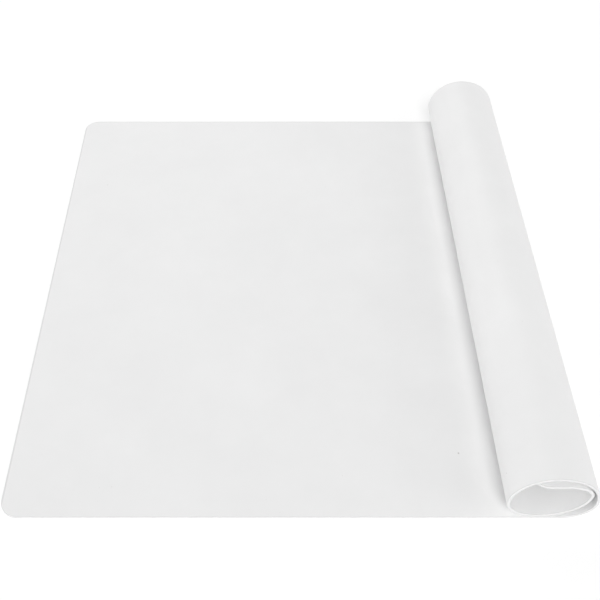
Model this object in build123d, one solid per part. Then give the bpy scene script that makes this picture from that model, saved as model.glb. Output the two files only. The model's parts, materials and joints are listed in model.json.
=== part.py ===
from build123d import *
from math import atan2, cos, degrees, radians, sin, sqrt, tan
import os

# The flat mat, in millimetres. One moulded sheet, partly rolled up on itself at its right end.
MAT_LENGTH = 600.0
MAT_DEPTH = 400.0
THICKNESS = 2.0
CORNER_RADIUS = 12.0

# The outer turn of the roll, over its outside faces.
ROLL_HEIGHT = 50.0
FOOT_RUN = 22.5
BULGE_HEIGHT = 19.5
CROWN_RUN = 31.0
SHOULDER_RUN = 27.5
SHOULDER_DROP = 28.5
LANDING_RUN = 22.0

# The inner turn, which rests inside the outer one. Its curl to the flap takes a share of the height
# between the bulge and the flap.
LAYER_GAP = 0.6
SIDE_GAP = 3.4
FLAP_GAP = 7.5
CURL_RISE_SHARE = 0.55
CURL_RUN = 18.8
FREE_EDGE_GAP = 9.8

# The bands that the rolled length bends between, and the clearance that closes when it lies flat.
QUARTER_TURN = 90
BANDS_IN_QUARTER = 5
SEAM_CLEARANCE = 0.02

HALF = THICKNESS / 2
BAND_TURN = QUARTER_TURN / BANDS_IN_QUARTER


# Sizes of the inner turn's middle surface. Its right side is counted from the roll's left side.
FLAP_HEIGHT = ROLL_HEIGHT - THICKNESS - FLAP_GAP - HALF
CURL_RISE = CURL_RISE_SHARE * (FLAP_HEIGHT - BULGE_HEIGHT)
INNER_RIGHT = CROWN_RUN + SHOULDER_RUN - THICKNESS - SIDE_GAP - HALF
FLAP_LENGTH = INNER_RIGHT - (CURL_RUN - HALF) - THICKNESS - FREE_EDGE_GAP


def quarter_sizes():
    """Each quarter turn of the middle surface, as how far it runs on and how far it runs across."""
    landing_height = THICKNESS + LAYER_GAP + HALF
    shoulder_height = ROLL_HEIGHT - SHOULDER_DROP
    curl_height = FLAP_HEIGHT - CURL_RISE
    return [
        (FOOT_RUN - HALF, BULGE_HEIGHT - HALF),
        (ROLL_HEIGHT - HALF - BULGE_HEIGHT, CROWN_RUN - HALF),
        (SHOULDER_RUN - HALF, SHOULDER_DROP - HALF),
        (shoulder_height - landing_height, LANDING_RUN - HALF),
        (INNER_RIGHT - LANDING_RUN, curl_height - landing_height),
        (CURL_RISE, CURL_RUN - HALF),
    ]


def on_quarter(start, heading, onward, across, turn):
    """The point of a quarter of an ellipse where the sheet has turned by an angle.

    The quarter starts along its heading. Onward and across are its half axes, and a point with the
    tangent turned by t lies onward^2 sin t / d ahead and across - across^2 cos t / d to the left,
    where d is the root of (onward sin t)^2 + (across cos t)^2.
    """
    along = Vector(1, 0).rotate(Axis.Z, heading)
    left = along.rotate(Axis.Z, QUARTER_TURN)
    angle = radians(turn)
    reach = sqrt((onward * sin(angle)) ** 2 + (across * cos(angle)) ** 2)
    ahead = onward**2 * sin(angle) / reach
    aside = across - across**2 * cos(angle) / reach
    return start + along * ahead + left * aside


def roll_line():
    """The seams of the roll's middle surface, and the middle of each band between two seams.

    Both are lists of (point, direction in degrees), from the end of the flat sheet inwards. A point
    is (x, height), with x counted from where the sheet leaves the table.
    """
    place = Vector(0, HALF)
    seams, middles = [(place, 0)], []
    for number, (onward, across) in enumerate(quarter_sizes()):
        heading = QUARTER_TURN * number
        for band in range(BANDS_IN_QUARTER):
            turned = BAND_TURN * band
            middle = on_quarter(place, heading, onward, across, turned + BAND_TURN / 2)
            seam = on_quarter(place, heading, onward, across, turned + BAND_TURN)
            middles.append((middle, heading + turned + BAND_TURN / 2))
            seams.append((seam, heading + turned + BAND_TURN))
        place = seams[-1][0]
    return seams, middles


def seam_turns(points):
    """How far each seam opens, in degrees, until the points lie on one straight line."""
    headings = [0.0]
    for here, after in zip(points, points[1:]):
        heading = degrees(atan2(after.Y - here.Y, after.X - here.X))
        while heading < headings[-1]:
            heading += 4 * QUARTER_TURN
        headings.append(heading)
    return [after - before for before, after in zip(headings, headings[1:])]


SEAMS, MIDDLES = roll_line()
FREE_EDGE = SEAMS[-1][0] - Vector(FLAP_LENGTH, 0)
LINE = [place for place, _ in SEAMS] + [FREE_EDGE]
TURNS = seam_turns(LINE)
ROLLED_LENGTH = sum((after - here).length for here, after in zip(LINE, LINE[1:]))
FLAT_LENGTH = MAT_LENGTH - ROLLED_LENGTH

# The origin is on the table, under the middle of the rolled-up mat.
LEFT_EDGE = -(FLAT_LENGTH + FOOT_RUN) / 2
LIFT_OFF = LEFT_EDGE + FLAT_LENGTH


def offset_point(place, direction, sideways, onward=0.0):
    """A point beside the sheet's middle surface: sideways to its inner face, onward along it."""
    angle = radians(direction)
    return (
        LIFT_OFF + place.X - sin(angle) * sideways + cos(angle) * onward,
        place.Y + cos(angle) * sideways + sin(angle) * onward,
    )


def seam_face(number, side):
    """A band's end face at a seam, from its inner face to its outer one.

    The inner half is square to the sheet and meets the next band. The outer half leans back by half
    of the angle that the seam opens, so the two outer halves close when the mat lies flat. Side is 1
    where the band starts at the seam, and -1 where it ends there.
    """
    place, direction = SEAMS[number]
    lean = HALF * tan(radians(TURNS[number] / 2)) + SEAM_CLEARANCE / 2
    return [
        offset_point(place, direction, HALF),
        offset_point(place, direction, 0),
        offset_point(place, direction, -HALF, side * lean),
    ]


def across_the_mat(outline):
    """The solid that an outline in x and height makes over the mat's whole depth."""
    back = Plane.XZ.offset(-MAT_DEPTH / 2)
    return extrude(back * make_face(outline), amount=MAT_DEPTH)


def round_corners(sheet):
    """The two free corners at the sheet's left end, rounded."""
    corners = sheet.edges().filter_by(Axis.Z).group_by(Axis.X)[0]
    return fillet(corners, CORNER_RADIUS)


def flat_sheet():
    inner, middle, outer = seam_face(0, -1)
    outline = Polyline((LEFT_EDGE, THICKNESS), inner, middle, outer, (LEFT_EDGE, 0), close=True)
    return round_corners(across_the_mat(outline))


def roll_band(number):
    start = seam_face(number, 1)
    end = seam_face(number + 1, -1)
    place, direction = MIDDLES[number]
    inner_middle = offset_point(place, direction, HALF)
    outer_middle = offset_point(place, direction, -HALF)
    outline = [
        ThreePointArc(start[0], inner_middle, end[0]),
        Polyline(*end),
        ThreePointArc(end[2], outer_middle, start[2]),
        Polyline(*reversed(start)),
    ]
    return across_the_mat(Curve() + outline)


def free_end():
    inner, middle, outer = seam_face(len(SEAMS) - 1, 1)
    tip = LIFT_OFF + FREE_EDGE.X
    outline = Polyline(inner, middle, outer, (tip, outer[1]), (tip, inner[1]), close=True)
    return round_corners(across_the_mat(outline))


def main():
    os.makedirs("parts", exist_ok=True)
    nodes = {"flat_sheet": flat_sheet()}
    for number in range(len(MIDDLES)):
        nodes[f"roll_band_{number + 1:02d}"] = roll_band(number)
    nodes["free_end"] = free_end()
    for name, solid in nodes.items():
        export_step(solid, f"parts/{name}.step")
    print(f"{len(nodes)} zones, flat length {FLAT_LENGTH:.2f}, rolled length {ROLLED_LENGTH:.2f}")


main()
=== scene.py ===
"""A white silicone baking mat, partly rolled up on itself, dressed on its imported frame."""
import json
import math
from collections import namedtuple

import bpy
import numpy as np
from bpy.props import FloatProperty, FloatVectorProperty, IntProperty, PointerProperty
from bpy.types import Operator, Panel, PropertyGroup
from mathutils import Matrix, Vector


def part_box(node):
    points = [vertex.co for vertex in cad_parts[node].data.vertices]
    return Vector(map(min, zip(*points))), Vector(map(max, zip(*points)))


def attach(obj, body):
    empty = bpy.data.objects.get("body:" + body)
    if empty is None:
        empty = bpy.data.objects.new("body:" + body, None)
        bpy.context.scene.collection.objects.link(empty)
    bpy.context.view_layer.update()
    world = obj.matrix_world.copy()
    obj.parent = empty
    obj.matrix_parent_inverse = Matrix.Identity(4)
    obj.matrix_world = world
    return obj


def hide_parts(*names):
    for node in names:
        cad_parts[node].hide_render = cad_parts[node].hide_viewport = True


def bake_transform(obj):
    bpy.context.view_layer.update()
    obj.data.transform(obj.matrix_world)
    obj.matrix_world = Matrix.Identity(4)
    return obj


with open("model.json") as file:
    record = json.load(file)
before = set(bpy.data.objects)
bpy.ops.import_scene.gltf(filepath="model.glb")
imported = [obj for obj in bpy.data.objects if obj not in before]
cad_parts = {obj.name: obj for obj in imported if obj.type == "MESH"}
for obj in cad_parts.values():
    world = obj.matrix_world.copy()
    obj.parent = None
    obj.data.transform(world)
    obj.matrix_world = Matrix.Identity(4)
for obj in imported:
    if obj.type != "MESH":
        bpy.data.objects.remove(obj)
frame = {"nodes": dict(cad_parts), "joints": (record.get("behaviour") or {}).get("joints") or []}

bl_info = {
    "name": "Silicone baking mat",
    "version": (1, 0, 0),
    "blender": (4, 5, 0),
    "location": "3D View > Sidebar > Baking mat",
    "description": "Builds a white silicone baking mat that is partly rolled up on itself",
    "category": "Object",
}

MM = 0.001
QUARTER_TURN = math.pi / 2
FINISH = "moulded_white_silicone"
UV_MAP = "mat_place"
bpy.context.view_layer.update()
SHEET_LOW, SHEET_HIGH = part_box("flat_sheet")
BAND_NAMES = sorted(name for name in frame["nodes"] if name.startswith("roll_band_"))
# The sheet leaves the table at its first hinge.
LIFT_OFF = next(joint["pos_m"][0] for joint in frame["joints"] if joint["child"] == BAND_NAMES[0])
MAT_LENGTH = 600 * MM
QUARTERS = 6

# Mesh rows along the rim's rounding, a rounded corner and the flat stretch.
RIM_ROWS = 6
CORNER_ROWS = 24
FLAT_ROWS = 19
# The rounded corner's rows start at this many times the rim's rounding.
CORNER_START = 1.5
# A lone row of the free end, as a share of the way from its bend to its rounded corners.
FREE_END_ROW = 0.3
# Rows across the mat, as shares of its half depth from the middle to the rim.
SHARES_ACROSS = np.array([0, 0.2, 0.4, 0.65, 0.85, 0.95, 0.99, 0.9985, 1])

# A cell of the specks' pattern has a speck where its random value is near this one.
SPECK_PICK = 0.1
SILICONE_IOR = 1.41
# A Mix node's two inputs and its result, by number, for each kind of value.
MIX_SOCKETS = {"FLOAT": (2, 3, 0), "RGBA": (6, 7, 2)}

# Each softbox's place and width, in metres.
SOFTBOXES = {
    "right": ((3.0, -1.2, 2.0), 2.4),
    "front": ((0.1, -7.0, 8.0), 4.3),
    "back": ((-0.4, 1.6, 1.4), 1.4),
    "left": ((-3.2, -1.4, 1.0), 2.0),
}

MatLine = namedtuple("MatLine", "points headings clear along breaks")


def length(name, default, description, **limits):
    """A size in metres that a user can change."""
    return FloatProperty(
        name=name, default=default, description=description, unit="LENGTH", precision=4, **limits
    )


def share(name, default, description):
    """A share between nothing and one that a user can change."""
    return FloatProperty(
        name=name, default=default, description=description, min=0, max=1, subtype="FACTOR"
    )


def power(name, default, description):
    """A lamp's power in watts that a user can change."""
    return FloatProperty(name=name, default=default, description=description, min=0, unit="POWER")


def shade(name, default, description):
    """A colour that a user can change."""
    return FloatVectorProperty(
        name=name, default=default, description=description, size=3, min=0, max=1, subtype="COLOR"
    )


class MatSheetSizes(PropertyGroup):
    depth: length("Depth", SHEET_HIGH.y - SHEET_LOW.y, "From the front edge to the back edge", min=100 * MM)
    thickness: length("Thickness", SHEET_HIGH.z - SHEET_LOW.z, "Through the sheet", min=0.5 * MM)
    corner_radius: length("Corner radius", 12 * MM, "Of the four rounded corners, from above", min=0.0)
    edge_radius: length("Edge rounding", 0.35 * MM, "Of the sheet's rim, above and below", min=0.0)
    end_lead: length("Bend lead", 4 * MM, "How far the end bends reach into the straight stretches", min=0.0)
    steps_per_bend: IntProperty(
        name="Steps per bend", description="Mesh rows along each bend of the roll", default=16, min=4, max=64
    )


class MatRollSizes(PropertyGroup):
    roll_height: length("Roll height", 50 * MM, "From the table to the top of the roll")
    foot_run: length("Foot run", 22.5 * MM, "From where it leaves the table to the roll's right side")
    bulge_height: length("Bulge height", 19.5 * MM, "Where the roll is widest on its right side")
    crown_run: length("Crown run", 31 * MM, "From the roll's right side to its top")
    shoulder_run: length("Shoulder run", 27.5 * MM, "From the roll's top to its left side")
    shoulder_drop: length("Shoulder drop", 28.5 * MM, "From the roll's top to its widest place on the left")
    landing_run: length("Landing run", 22 * MM, "From the roll's left side to where it meets the flat sheet")
    layer_gap: length("Layer gap", 0.6 * MM, "Between the flat sheet and the turn that lies on it")
    side_gap: length("Side gap", 3.4 * MM, "Between the two turns on the right side")
    flap_gap: length("Flap gap", 7.5 * MM, "Between the roll's top and the free end below it")
    curl_rise: length("Curl rise", 11 * MM, "From the inner turn's widest place up to the free end")
    curl_run: length("Curl run", 18.8 * MM, "From the inner turn's right side to the straight free end")
    free_edge_gap: length("Free edge gap", 9.8 * MM, "From the free edge to the roll's left side")


class MatFinish(PropertyGroup):
    colour: shade("Silicone colour", (0.88, 0.88, 0.88), "Of the clean sheet")
    dust_colour: shade("Dust colour", (0.36, 0.34, 0.32), "Of the specks that cling to the silicone")
    roughness: share("Roughness", 0.46, "Of the satin moulded face")
    roughness_swing: share("Roughness swing", 0.04, "How far the roughness changes over the patches")
    grain_size: length("Grain size", 0.45 * MM, "Of the fine grain that the mould leaves")
    grain_depth: length("Grain depth", 0.06 * MM, "Of the grain and the ripple together")
    grain_strength: share("Grain strength", 0.35, "How strongly the grain and the ripple show")
    ripple_size: length("Ripple size", 5 * MM, "Of the faint unevenness of the moulded face")
    ripple_share: share("Ripple share", 0.6, "Of the grain's depth that is ripple")
    patch_size: length("Patch size", 70 * MM, "Of the slow changes of tone over the sheet")
    tone_swing: share("Tone swing", 0.018, "How far the tone changes over the patches")
    # Painted shade: the sheet's colour is darkened along its rounded rim, which the specks also keep off.
    painted_shade_rim_width: length("Rim width", 1.6 * MM, "How far in from the edge the darker rim reaches")
    painted_rim_shade: share("Rim tone", 0.88, "Of the rim, as a share of the sheet's")
    dust_spacing: length("Dust spacing", 34 * MM, "Between places where a speck of dust may lie")
    dust_size: length("Dust size", 0.95 * MM, "Half the width of the largest specks of dust")
    dust_share: share("Dust share", 0.04, "Of those places that have a speck")
    lint_spacing: length("Lint spacing", 8.5 * MM, "Between places where a finer speck may lie")
    lint_size: length("Lint size", 0.3 * MM, "Half the width of the largest finer specks")
    lint_share: share("Lint share", 0.1, "Of those places that have a finer speck")
    speck_cover: share("Speck cover", 0.75, "How fully a speck hides the silicone under it")
    dust_shift: FloatVectorProperty(
        name="Dust shift", description="Moves all the specks along and across the sheet",
        subtype="TRANSLATION", unit="LENGTH", size=3, default=(333.9 * MM, -122.8 * MM, 0),
    )


class MatStage(PropertyGroup):
    camera_distance: length("Camera distance", 274.35 * MM, "From the mat's front edge, along the table")
    camera_height: length("Camera height", 555.6 * MM, "Above the table")
    camera_side: length("Camera side", 176.2 * MM, "From the mat's left edge")
    camera_pitch: FloatProperty(
        name="Camera pitch", description="How far the camera looks down", default=math.radians(44.355),
        subtype="ANGLE", unit="ROTATION",
    )
    camera_lens: FloatProperty(
        name="Focal length", description="In millimetres, on a sensor 36 mm wide", default=54.32, min=1
    )
    camera_shift: FloatVectorProperty(
        name="Camera shift", description="Of the lens, right and up, in widths of the picture", size=2,
        default=(0.0487, -0.1662),
    )
    right_power: power("Right light", 25.0, "Of the softbox on the right")
    front_power: power("Front light", 615.0, "Of the large softbox high in front, the main light")
    back_power: power("Back light", 8.0, "Of the small softbox behind")
    left_power: power("Left light", 25.0, "Of the low softbox on the left")
    wall_light: FloatProperty(
        name="Wall light", description="Of the room's walls, at the height of the table", default=0.92, min=0
    )
    ceiling_light: FloatProperty(
        name="Ceiling light", description="Of the room, straight above", default=0.0, min=0
    )
    floor_patch_size: length("Floor patch size", 300 * MM, "Of the slow changes of tone over the floor")
    floor_swing: share("Floor swing", 0.02, "How far the floor's tone falls over the patches")
    floor_bounce: share("Floor bounce", 0.85, "How pale the floor is to the light that it sends on")
    floor_paint: share("Floor paint", 0.42, "How pale the floor's paint is to the camera")
    floor_glow: share("Floor glow", 0.64, "How strongly the floor glows to the camera")


def quarter_line(start, heading, onward, across, turned):
    """Points of a quarter of an ellipse where the sheet has turned by the given angles.

    The quarter starts along its heading. Its half axes are onward and across, and a point whose
    tangent has turned by t lies onward^2 sin t / d ahead and across - across^2 cos t / d to the
    left, where d is the root of (onward sin t)^2 + (across cos t)^2. Returns points (x, height).
    """
    reach = np.hypot(onward * np.sin(turned), across * np.cos(turned))
    ahead = onward**2 * np.sin(turned) / reach
    aside = across - across**2 * np.cos(turned) / reach
    along = np.array([math.cos(heading), math.sin(heading)])
    left = np.array([-along[1], along[0]])
    return start + ahead[:, None] * along + aside[:, None] * left


def quarter_sizes(sheet, roll):
    """Each quarter turn of the sheet's middle surface, as how far it runs on and how far across.

    The second result is the length of the straight free end after the last quarter turn.
    """
    half = sheet.thickness / 2
    landing_height = sheet.thickness + roll.layer_gap + half
    shoulder_height = roll.roll_height - roll.shoulder_drop
    flap_height = roll.roll_height - sheet.thickness - roll.flap_gap - half
    curl_height = flap_height - roll.curl_rise
    inner_right = roll.crown_run + roll.shoulder_run - sheet.thickness - roll.side_gap - half
    flap = inner_right - (roll.curl_run - half) - sheet.thickness - roll.free_edge_gap
    return [
        (roll.foot_run - half, roll.bulge_height - half),
        (roll.roll_height - half - roll.bulge_height, roll.crown_run - half),
        (roll.shoulder_run - half, roll.shoulder_drop - half),
        (shoulder_height - landing_height, roll.landing_run - half),
        (inner_right - roll.landing_run, curl_height - landing_height),
        (roll.curl_rise, roll.curl_run - half),
    ], flap


def end_steps(sheet):
    """Distances from a free end that are close on the rounded rim and then on the rounded corner.

    Both are r (1 - cos a) for even steps of a over a quarter turn, r being the rim's rounding and
    then the corner's radius.
    """
    rim = sheet.edge_radius * (1 - np.cos(np.linspace(0, QUARTER_TURN, RIM_ROWS + 1)))
    corner = sheet.corner_radius * (1 - np.cos(np.linspace(0, QUARTER_TURN, CORNER_ROWS + 1)))
    return np.concatenate([rim, corner[corner > CORNER_START * rim[-1]]])


def mat_line(sheet, roll):
    """The middle surface of the whole mat from its left edge to its free edge.

    The left stretch is straight, then come six quarters of ellipses of five bands each, then the
    straight free end. Points are (x, height), headings are in radians, clear is the distance to the
    nearer free end, along is the distance from the left edge of the flat mat, and breaks are the
    indices where one piece ends and the next starts: a lead into both straight stretches, and at
    the middle of each band between them.
    """
    quarters, flap = quarter_sizes(sheet, roll)
    lead, bend = sheet.end_lead, sheet.steps_per_bend
    half_bend = bend // 2
    ends = end_steps(sheet)
    flat = LIFT_OFF - SHEET_LOW.x
    straight = np.concatenate([
        ends,
        np.linspace(sheet.corner_radius, flat - lead, FLAT_ROWS + 1)[1:],
        flat - lead * np.linspace(1, 0, half_bend + 1)[1:],
    ])
    points = [np.stack([SHEET_LOW.x + straight, np.full(len(straight), sheet.thickness / 2)], 1)]
    headings, clear = [np.zeros(len(straight))], [straight]
    turned = np.linspace(0, QUARTER_TURN, len(BAND_NAMES) // QUARTERS * bend + 1)[1:]
    for number, (onward, across) in enumerate(quarters):
        heading = number * QUARTER_TURN
        points.append(quarter_line(points[-1][-1], heading, onward, across, turned))
        headings.append(heading + turned)
        clear.append(np.full(len(turned), flat))
    past_bend = flap - lead
    to_edge = np.concatenate([
        flap - lead * np.linspace(0, 1, half_bend + 1)[1:],
        [past_bend - FREE_END_ROW * (past_bend - sheet.corner_radius)],
        ends[::-1],
    ])
    points.append(points[-1][-1] - np.stack([flap - to_edge, np.zeros(len(to_edge))], 1))
    headings.append(np.full(len(to_edge), QUARTERS * QUARTER_TURN))
    clear.append(to_edge)
    points = np.concatenate(points)
    along = np.concatenate([[0], np.cumsum(np.linalg.norm(np.diff(points, axis=0), axis=1))])
    lift_off = len(straight) - 1
    breaks = [lift_off - half_bend]
    breaks += [lift_off + half_bend + bend * band for band in range(len(BAND_NAMES) + 1)]
    return MatLine(points, np.concatenate(headings), np.concatenate(clear), along, breaks)


def section_loop(sheet):
    """The sheet's section across the roll as one closed loop, the upper half and its mirror image.

    Returns for each point its share of the half depth and its share of the half thickness. The
    rim's shares of the half thickness are (h - r + r sin b) / h for even steps of b over a quarter
    turn, with half thickness h and rounding r.
    """
    half, radius = sheet.thickness / 2, sheet.edge_radius
    rounding = (half - radius + radius * np.sin(np.linspace(0, QUARTER_TURN, RIM_ROWS + 1))) / half
    climb = np.concatenate([[0], rounding[:-1]])
    rim = np.ones(len(climb))
    across = np.concatenate([-SHARES_ACROSS[:0:-1], SHARES_ACROSS])
    upper_side = np.concatenate([-rim, across, rim])
    upper_height = np.concatenate([climb, np.ones(len(across)), climb[::-1]])
    side = np.concatenate([upper_side, upper_side[1:-1][::-1]])
    height = np.concatenate([upper_height, -upper_height[1:-1][::-1]])
    return side, height


def third_side(longest, other):
    """A right-angled triangle's third side, root(c^2 - b^2), or nothing where b is the longer."""
    return np.sqrt(np.maximum(longest**2 - other**2, 0))


def section_grid(sheet, line, part):
    """The section loop carried along a part of the line, as rows along it and columns round it.

    The whole sheet has half thickness h and half depth W. At distance d from a free end, the half
    thickness is h - r + root(r^2 - (r - d)^2) within the rim's rounding r. At a height z, the rim
    draws in by e = r - root(r^2 - (|z| - h + r)^2), and the half depth is
    W - R + root((R - e)^2 - (R - d)^2) within the corner's radius R, and W - e past it. A point is
    the line's point, plus z along the sheet's inner normal.
    """
    half, radius, corner = sheet.thickness / 2, sheet.edge_radius, sheet.corner_radius
    side, height = section_loop(sheet)
    distance = line.clear[part, None]
    z = (half - radius + third_side(radius, radius - np.clip(distance, 0, radius))) * height
    inset = radius - third_side(radius, np.maximum(np.abs(z) - half + radius, 0))
    into_corner = np.clip(np.maximum(distance, inset), 0, corner)
    reach = sheet.depth / 2 - corner + third_side(corner - inset, corner - into_corner)
    turned = line.headings[part, None]
    x = line.points[part, :1] - np.sin(turned) * z
    up = line.points[part, 1:] + np.cos(turned) * z
    return np.stack([x, side * reach, up], 2)


def skin_faces(index):
    """Faces between a grid's neighbouring rows of vertices, closed round its columns."""
    ahead = np.roll(index, -1, axis=1)
    return np.stack([index[:-1], index[1:], ahead[1:], ahead[:-1]], 2).reshape(-1, 4)


def cap_faces(index):
    """Faces that close a grid's first and last row, between the upper half and its mirror image.

    Each cap starts and ends with a triangle, where the two halves share a vertex.
    """
    columns = index.shape[1]
    upper = np.arange(columns // 2 + 1)
    lower = np.concatenate([[0], np.arange(columns - 1, upper[-1] - 1, -1)])
    strip = np.stack([upper[:-1], upper[1:], lower[1:], lower[:-1]], 1)
    caps = np.concatenate([index[0][strip], index[-1][strip][:, ::-1]])
    return [list(dict.fromkeys(face)) for face in caps.tolist()]


def lay_out_flat(mesh, sheet, along, skin_count):
    """A UV map in metres: how far along the flat mat, and how far round its full section.

    The skin's faces come first in the mesh, a row at a time. The last face of a row ends at the
    full way round instead of at nothing.
    """
    side, height = section_loop(sheet)
    columns = len(side)
    section = np.stack([side * sheet.depth / 2, height * sheet.thickness / 2], 1)
    steps = np.linalg.norm(np.diff(section, axis=0, append=section[:1]), axis=1)
    around = np.concatenate([[0], np.cumsum(steps)])
    corners = np.empty(len(mesh.loops), np.int32)
    mesh.loops.foreach_get("vertex_index", corners)
    row, column = np.divmod(corners, columns)
    face = np.arange(len(corners)) // 4
    closing = (face < skin_count) & (face % columns == columns - 1)
    column[closing & (column == 0)] = columns
    place = np.stack([along[row], around[column]], 1).astype(np.float32)
    mesh.uv_layers.new(name=UV_MAP).data.foreach_set("uv", place.ravel())


def carry_section(name, sheet, line, first, last):
    """A closed piece of the mat: its section carried along the line from one index to another."""
    part = slice(first, last + 1)
    grid = section_grid(sheet, line, part)
    index = np.arange(grid[..., 0].size).reshape(grid.shape[:2])
    skin = skin_faces(index)
    mesh = bpy.data.meshes.new(name)
    mesh.from_pydata(grid.reshape(-1, 3), [], skin.tolist() + cap_faces(index))
    capped = np.arange(len(mesh.polygons)) >= len(skin)
    mesh.attributes.new("sharp_face", "BOOLEAN", "FACE").data.foreach_set("value", capped)
    lay_out_flat(mesh, sheet, line.along[part], len(skin))
    mesh.validate()
    piece = bpy.data.objects.new(name, mesh)
    bpy.context.scene.collection.objects.link(piece)
    piece.data.materials.append(bpy.data.materials[FINISH])
    return piece


def new_group(name, inputs, result):
    """An empty shader node group with one result, and the sockets inside it for both.

    An input with a default is a number, and one without is a place.
    """
    group = bpy.data.node_groups.new(name, "ShaderNodeTree")
    for label, default in inputs.items():
        kind = "NodeSocketVector" if default is None else "NodeSocketFloat"
        socket = group.interface.new_socket(label, in_out="INPUT", socket_type=kind)
        if default is not None:
            socket.default_value = default
    group.interface.new_socket(result, in_out="OUTPUT", socket_type="NodeSocketFloat")
    given = group.nodes.new("NodeGroupInput").outputs
    return group, given, group.nodes.new("NodeGroupOutput").inputs[result]


def add(tree, kind, links=(), **values):
    """A node of the tree with its settings, and links into its sockets by name or number."""
    node = tree.nodes.new("ShaderNode" + kind)
    for key, value in values.items():
        setattr(node, key, value)
    for socket, source in dict(links).items():
        if isinstance(source, bpy.types.NodeSocket):
            tree.links.new(source, node.inputs[socket])
        else:
            node.inputs[socket].default_value = source
    return node


def maths(tree, operation, *values):
    """The result of a Math node, from numbers and sockets."""
    return add(tree, "Math", dict(enumerate(values)), operation=operation).outputs[0]


def remap(tree, value, start, end, low, high, **values):
    """Low where the value is at the start, high where it is at the end, and held past both."""
    ranges = {"Value": value, "From Min": start, "From Max": end, "To Min": low, "To Max": high}
    return add(tree, "MapRange", ranges, **values).outputs[0]


def mix(tree, kind, amount, first, second):
    """Two values or colours mixed, with as much of the second as the amount says."""
    low, high, result = MIX_SOCKETS[kind]
    return add(tree, "Mix", {0: amount, low: first, high: second}, data_type=kind).outputs[result]


def noise(tree, place, size, detail, roughness):
    """Noise between nothing and one, with features of a size."""
    scale = maths(tree, "DIVIDE", 1.0, size)
    settings = {"Vector": place, "Scale": scale, "Detail": detail, "Roughness": roughness}
    return add(tree, "TexNoise", settings).outputs[0]


def grain_group():
    """Heights of a moulded face: fine noise plus a slower ripple, each of its own size."""
    inputs = {"Place": None, "Grain size": 0.5 * MM, "Ripple size": 5 * MM, "Ripple share": 0.5}
    group, given, height = new_group("moulded_grain", inputs, "Height")
    fine = noise(group, given["Place"], given["Grain size"], detail=2.0, roughness=0.55)
    slow = noise(group, given["Place"], given["Ripple size"], detail=3.0, roughness=0.45)
    group.links.new(mix(group, "FLOAT", given["Ripple share"], fine, slow), height)
    return group


def mottle_group():
    """Slow patches between minus one and one, from the middle of the noise's range."""
    group, given, patch = new_group("soft_mottle", {"Place": None, "Patch size": 70 * MM}, "Patch")
    slow = noise(group, given["Place"], given["Patch size"], detail=4.0, roughness=0.6)
    group.links.new(remap(group, slow, 0.3, 0.7, -1.0, 1.0), patch)
    return group


def dust_group():
    """A mask of small round specks, one in some of the cells of a loose grid, few of them large.

    A cell has a speck where the first of its random values is within half the share of SPECK_PICK,
    and the speck's size goes with the cube of the second.
    """
    inputs = {"Place": None, "Spacing": 30 * MM, "Speck size": 0.4 * MM, "Share": 0.2}
    group, given, mask = new_group("dust_specks", inputs, "Mask")
    pattern = {"Vector": given["Place"], "Scale": maths(group, "DIVIDE", 1.0, given["Spacing"])}
    cells = add(group, "TexVoronoi", pattern, voronoi_dimensions="2D").outputs
    random = add(group, "SeparateColor", {0: cells["Color"]}).outputs
    half_share = maths(group, "MULTIPLY", given["Share"], 0.5)
    chosen = maths(group, "COMPARE", random[0], SPECK_PICK, half_share)
    cubed = maths(group, "POWER", random[1], 3.0)
    size = maths(group, "MULTIPLY", given["Speck size"], cubed)
    away = maths(group, "MULTIPLY", cells["Distance"], given["Spacing"])
    near = remap(group, away, size, 0.0, 0.0, 1.0)
    group.links.new(maths(group, "MULTIPLY", near, chosen), mask)
    return group


def edge_group():
    """A mask that is one on the rim of a flat rectangle and falls to nothing at a width from it.

    The distance is the least of u, length - u, and the distance of v from the two side edges, which
    lie half the section's way round apart.
    """
    inputs = {"Place": None, "Length": MAT_LENGTH, "Depth": 400 * MM, "Thickness": 2 * MM, "Width": 2 * MM}
    group, given, mask = new_group("edge_nearness", inputs, "Mask")
    u, v, _ = add(group, "SeparateXYZ", {0: given["Place"]}).outputs
    near_u = maths(group, "MINIMUM", u, maths(group, "SUBTRACT", given["Length"], u))
    span = maths(group, "ADD", given["Depth"], given["Thickness"])
    side_v = maths(group, "WRAP", v, span, 0.0)
    near_v = maths(group, "MINIMUM", side_v, maths(group, "SUBTRACT", span, side_v))
    nearest = maths(group, "MINIMUM", near_u, near_v)
    half = maths(group, "MULTIPLY", given["Thickness"], 0.5)
    fall = remap(group, nearest, given["Width"], half, 0.0, 1.0, interpolation_type="SMOOTHSTEP")
    group.links.new(fall, mask)
    return group


def use(tree, group, **inputs):
    """A group placed in a material, with its own values. Names take a space for an underscore."""
    values = {key.replace("_", " "): value for key, value in inputs.items()}
    return add(tree, "Group", values, node_tree=group).outputs[0]


def clinging_specks(tree, finish, groups, place):
    """A mask of the specks of dust and the finer lint, all moved by the dust's shift."""
    shift = tuple(finish.dust_shift)
    strewn = add(tree, "VectorMath", {0: place, 1: shift}, operation="SUBTRACT").outputs[0]
    dust = use(
        tree, groups["dust"], Place=strewn, Spacing=finish.dust_spacing, Speck_size=finish.dust_size,
        Share=finish.dust_share,
    )
    lint = use(
        tree, groups["dust"], Place=strewn, Spacing=finish.lint_spacing, Speck_size=finish.lint_size,
        Share=finish.lint_share,
    )
    return maths(tree, "MAXIMUM", dust, lint)


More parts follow.
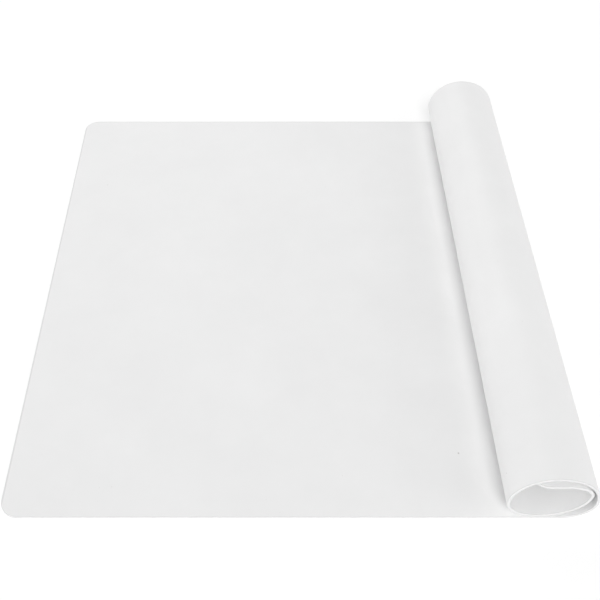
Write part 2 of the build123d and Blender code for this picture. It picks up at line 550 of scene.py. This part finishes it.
def silicone_colour(tree, finish, sheet, groups, place, patch):
    """The sheet's colour: patches of tone, painted shade on the rim, and specks everywhere but on the rim."""
    edge = use(
        tree, groups["edge"], Place=place, Length=MAT_LENGTH, Depth=sheet.depth,
        Thickness=sheet.thickness, Width=finish.painted_shade_rim_width,
    )
    tone = remap(tree, patch, -1.0, 1.0, 1.0 - finish.tone_swing, 1.0 + finish.tone_swing)
    # Painted shade: the sheet's colour falls towards the rim and stands in for shade on its rounded edge.
    painted_rim_shade = remap(tree, edge, 0.0, 1.0, 1.0, finish.painted_rim_shade)
    both = maths(tree, "MULTIPLY", tone, painted_rim_shade)
    base = add(tree, "VectorMath", {0: tuple(finish.colour), "Scale": both}, operation="SCALE")
    cover = remap(tree, edge, 0.0, 1.0, finish.speck_cover, 0.0)
    specks = maths(tree, "MULTIPLY", clinging_specks(tree, finish, groups, place), cover)
    return mix(tree, "RGBA", specks, base.outputs[0], (*finish.dust_colour, 1))


def silicone_material(finish, sheet, groups):
    """White moulded silicone: satin, faintly grained and mottled, with a few clinging specks."""
    material = bpy.data.materials.new(FINISH)
    material.use_nodes = True
    tree = material.node_tree
    shader = tree.nodes["Principled BSDF"].inputs
    place = add(tree, "UVMap", uv_map=UV_MAP).outputs[0]
    patch = use(tree, groups["mottle"], Place=place, Patch_size=finish.patch_size)
    smoothest, roughest = finish.roughness - finish.roughness_swing, finish.roughness + finish.roughness_swing
    height = use(
        tree, groups["grain"], Place=place, Grain_size=finish.grain_size,
        Ripple_size=finish.ripple_size, Ripple_share=finish.ripple_share,
    )
    relief = {"Strength": finish.grain_strength, "Distance": finish.grain_depth, "Height": height}
    tree.links.new(silicone_colour(tree, finish, sheet, groups, place, patch), shader["Base Color"])
    tree.links.new(remap(tree, patch, -1.0, 1.0, smoothest, roughest), shader["Roughness"])
    tree.links.new(add(tree, "Bump", relief).outputs[0], shader["Normal"])
    shader["IOR"].default_value = SILICONE_IOR


def seen_directly(tree):
    """One for rays from the camera or from a mirrored or clear surface, and nothing for the rest."""
    rays = add(tree, "LightPath").outputs
    mirrored = maths(tree, "MAXIMUM", rays["Is Camera Ray"], rays["Is Glossy Ray"])
    return maths(tree, "MAXIMUM", mirrored, rays["Is Transmission Ray"])


def floor_material(stage, groups):
    """A pale studio floor that the camera sees as white, and that keeps the object's shadow."""
    material = bpy.data.materials.new("studio_floor")
    material.use_nodes = True
    tree = material.node_tree
    tree.nodes.remove(tree.nodes["Principled BSDF"])
    place = add(tree, "TexCoord").outputs["Object"]
    patch = use(tree, groups["mottle"], Place=place, Patch_size=stage.floor_patch_size)
    tone = remap(tree, patch, -1.0, 1.0, 1.0 - stage.floor_swing, 1.0)
    seen = seen_directly(tree)
    paleness = remap(tree, seen, 0.0, 1.0, stage.floor_bounce, stage.floor_paint)
    paint = add(tree, "BsdfDiffuse", {"Color": maths(tree, "MULTIPLY", tone, paleness)})
    strength = maths(tree, "MULTIPLY", seen, stage.floor_glow)
    glow = add(tree, "Emission", {"Color": (1, 1, 1, 1), "Strength": strength})
    both = add(tree, "AddShader", {0: paint.outputs[0], 1: glow.outputs[0]})
    tree.links.new(both.outputs[0], tree.nodes["Material Output"].inputs["Surface"])
    return material


def room_light(stage):
    """White light from all round, strongest from the sides, that the camera and mirrors see as white.

    Its strength falls evenly with the sine of the angle above the table.
    """
    world = bpy.data.worlds.new("studio_room")
    bpy.context.scene.world = world
    world.use_nodes = True
    tree = world.node_tree
    above = add(tree, "SeparateXYZ", {0: add(tree, "TexCoord").outputs["Generated"]}).outputs[2]
    fall = remap(tree, above, 0.0, 1.0, stage.wall_light, stage.ceiling_light)
    level = mix(tree, "FLOAT", seen_directly(tree), fall, 1.0)
    background = tree.nodes["Background"].inputs
    background["Color"].default_value = (1, 1, 1, 1)
    tree.links.new(level, background["Strength"])


def softbox(name, place, width, watts):
    """A square area light at a place, turned to face the middle of the table."""
    lamp = bpy.data.lights.new(name, "AREA")
    lamp.shape = "SQUARE"
    lamp.size = width
    lamp.energy = watts
    box = bpy.data.objects.new(name, lamp)
    bpy.context.scene.collection.objects.link(box)
    x, y, z = place
    box.location = place
    box.rotation_euler = (math.atan2(math.hypot(x, y), z), 0, math.atan2(x, -y))


def studio_floor(stage, groups):
    """A square of floor just under the mat, four metres wide."""
    reach, drop = 2.0, -0.05 * MM
    corners = [(-reach, -reach, drop), (reach, -reach, drop), (reach, reach, drop), (-reach, reach, drop)]
    mesh = bpy.data.meshes.new("studio_floor")
    mesh.from_pydata(corners, [], [(0, 1, 2, 3)])
    floor = bpy.data.objects.new("studio_floor", mesh)
    bpy.context.scene.collection.objects.link(floor)
    mesh.materials.append(floor_material(stage, groups))


def studio_camera(stage):
    """The camera in front of the mat, looking down on it along the roll, cropped to one side."""
    data = bpy.data.cameras.new("studio_camera")
    data.sensor_width = 36
    data.lens = stage.camera_lens
    data.shift_x, data.shift_y = stage.camera_shift
    camera = bpy.data.objects.new("studio_camera", data)
    bpy.context.scene.collection.objects.link(camera)
    camera.location = (
        SHEET_LOW.x + stage.camera_side, SHEET_LOW.y - stage.camera_distance, stage.camera_height
    )
    camera.rotation_euler = (QUARTER_TURN - stage.camera_pitch, 0, 0)
    bpy.context.scene.camera = camera


def check_joints(sheet, line):
    """Raises an error where a joint's axis is over a tenth of the thickness off the middle surface."""
    for joint in frame["joints"]:
        spot = np.array([joint["pos_m"][0], joint["pos_m"][2]])
        gap = np.linalg.norm(line.points - spot, axis=1).min()
        if gap > sheet.thickness / 10:
            raise RuntimeError(f"joint {joint['name']} lies {gap / MM:.2f} mm off the mat's middle surface")


class MAT_OT_silicone(Operator):
    """Make the silicone material and the node groups that it and the floor share"""

    bl_idname = "baking_mat.silicone"
    bl_label = "White silicone"

    def execute(self, context):
        scene = context.scene
        groups = {
            "grain": grain_group(), "mottle": mottle_group(), "dust": dust_group(), "edge": edge_group()
        }
        silicone_material(scene.mat_finish, scene.mat_sheet, groups)
        return {"FINISHED"}


class MAT_OT_flat_stretch(Operator):
    """Build the stretch of the mat that lies flat, with its two rounded corners"""

    bl_idname = "baking_mat.flat_stretch"
    bl_label = "Flat stretch"

    def execute(self, context):
        sheet = context.scene.mat_sheet
        line = mat_line(sheet, context.scene.mat_roll)
        check_joints(sheet, line)
        piece = carry_section("mat_flat_stretch", sheet, line, 0, line.breaks[0])
        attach(piece, "flat_sheet")
        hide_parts("flat_sheet")
        return {"FINISHED"}


class MAT_OT_rolled_bends(Operator):
    """Build the bends of the roll, each of which lies over one hinge of the frame"""

    bl_idname = "baking_mat.rolled_bends"
    bl_label = "Rolled bends"

    def execute(self, context):
        sheet = context.scene.mat_sheet
        line = mat_line(sheet, context.scene.mat_roll)
        for number, (first, last) in enumerate(zip(line.breaks, line.breaks[1:])):
            piece = carry_section(f"mat_bend_{number + 1:02d}", sheet, line, first, last)
            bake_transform(piece)
            if number < len(BAND_NAMES):
                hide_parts(BAND_NAMES[number])
        return {"FINISHED"}


class MAT_OT_free_edge(Operator):
    """Build the straight free end inside the roll, with its two rounded corners"""

    bl_idname = "baking_mat.free_edge"
    bl_label = "Free edge"

    def execute(self, context):
        sheet = context.scene.mat_sheet
        line = mat_line(sheet, context.scene.mat_roll)
        piece = carry_section("mat_free_edge", sheet, line, line.breaks[-1], len(line.points) - 1)
        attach(piece, "free_end")
        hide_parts("free_end")
        return {"FINISHED"}


class MAT_OT_stage(Operator):
    """Set up the pale floor, the camera, the room's light and the softboxes"""

    bl_idname = "baking_mat.stage"
    bl_label = "Studio"

    def execute(self, context):
        stage = context.scene.mat_stage
        studio_floor(stage, {"mottle": bpy.data.node_groups["soft_mottle"]})
        studio_camera(stage)
        room_light(stage)
        for side, (place, width) in SOFTBOXES.items():
            softbox(f"{side}_softbox", place, width, getattr(stage, f"{side}_power"))
        return {"FINISHED"}


class MAT_PT_sidebar(Panel):
    """The mat's sizes, finish and stage, and the steps that build it"""

    bl_idname = "MAT_PT_sidebar"
    bl_label = "Baking mat"
    bl_space_type = "VIEW_3D"
    bl_region_type = "UI"
    bl_category = "Baking mat"

    def draw(self, context):
        for name in SETTINGS:
            box = self.layout.box()
            group = getattr(context.scene, name)
            for key in group.bl_rna.properties.keys():
                if key not in {"rna_type", "name"}:
                    box.prop(group, key)
        for step in STEPS:
            self.layout.operator(step.bl_idname)


STEPS = (MAT_OT_silicone, MAT_OT_flat_stretch, MAT_OT_rolled_bends, MAT_OT_free_edge, MAT_OT_stage)
SETTINGS = {
    "mat_sheet": MatSheetSizes, "mat_roll": MatRollSizes, "mat_finish": MatFinish, "mat_stage": MatStage
}
CLASSES = (*SETTINGS.values(), *STEPS, MAT_PT_sidebar)


def register():
    for item in CLASSES:
        bpy.utils.register_class(item)
    for name, item in SETTINGS.items():
        setattr(bpy.types.Scene, name, PointerProperty(type=item))


def unregister():
    for name in SETTINGS:
        delattr(bpy.types.Scene, name)
    for item in reversed(CLASSES):
        bpy.utils.unregister_class(item)


def main():
    """Build the mat and its stage."""
    register()
    bpy.context.scene.view_settings.view_transform = "Standard"
    bpy.ops.baking_mat.silicone()
    bpy.ops.baking_mat.flat_stretch()
    bpy.ops.baking_mat.rolled_bends()
    bpy.ops.baking_mat.free_edge()
    bpy.ops.baking_mat.stage()


if __name__ == "__main__":
    main()
